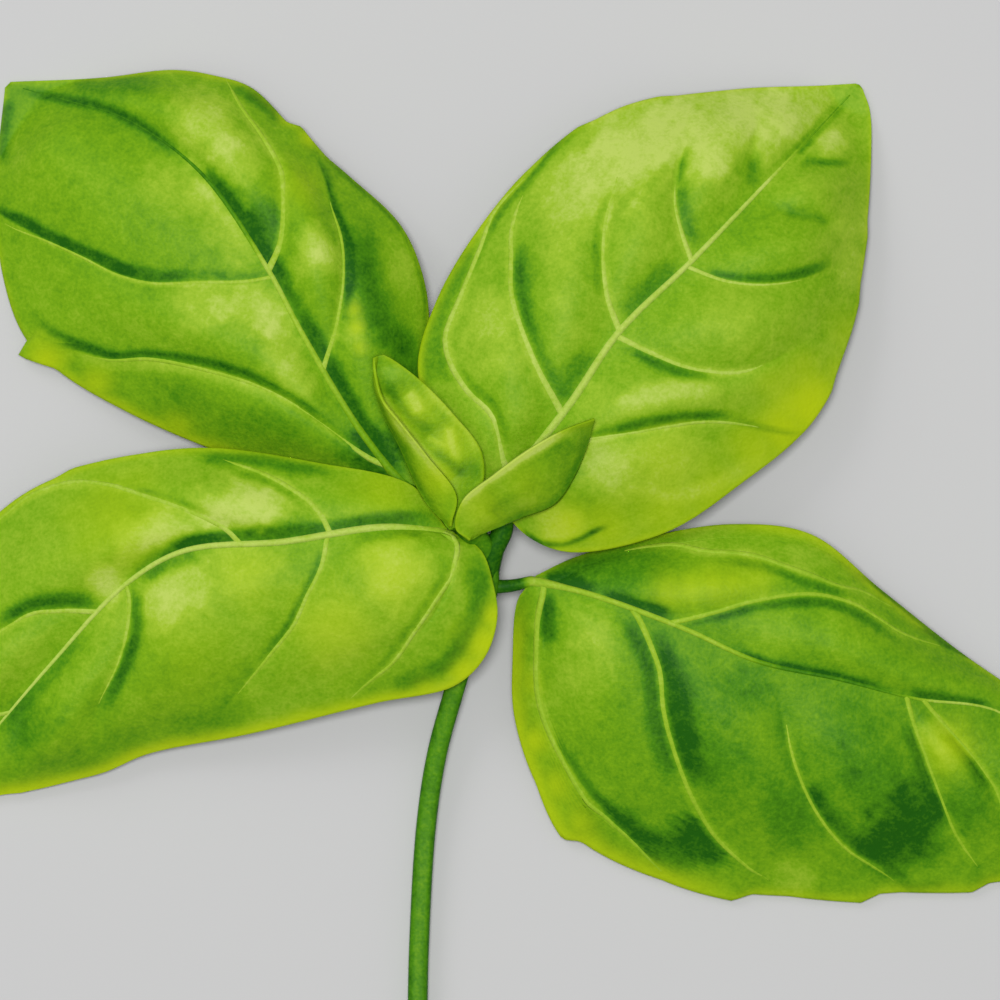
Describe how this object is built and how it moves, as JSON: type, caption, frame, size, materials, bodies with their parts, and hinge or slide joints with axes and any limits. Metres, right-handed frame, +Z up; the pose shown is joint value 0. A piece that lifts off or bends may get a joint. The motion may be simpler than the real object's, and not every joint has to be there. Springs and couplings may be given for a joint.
{
  "type": "basil sprig",
  "caption": "Cut sprig of sweet basil lying face up: a slender square stem, broad quilted leaves in opposite pairs and a pair of folded young leaves at the tip.",
  "frame": {"origin": "bottom centre of the part's box, on the surface that the sprig lies on", "axes": "+Z up out of that surface, +Y along the stem from its cut end towards the growing tip, +X to the right when looking down on the sprig with its tip away from the viewer"},
  "size_m": [0.149, 0.1259, 0.0193],
  "materials": {
    "leaf": "satin",
    "young_leaf": "satin",
    "stem": "satin"
  },
  "bodies": {
    "root": {"stem": "stem", "leaf_back_right": "leaf", "leaf_back_left": "leaf", "leaf_front_left": "leaf", "leaf_front_right": "leaf", "young_leaf_left": "young_leaf", "young_leaf_right": "young_leaf"}
  },
  "joints": []
}
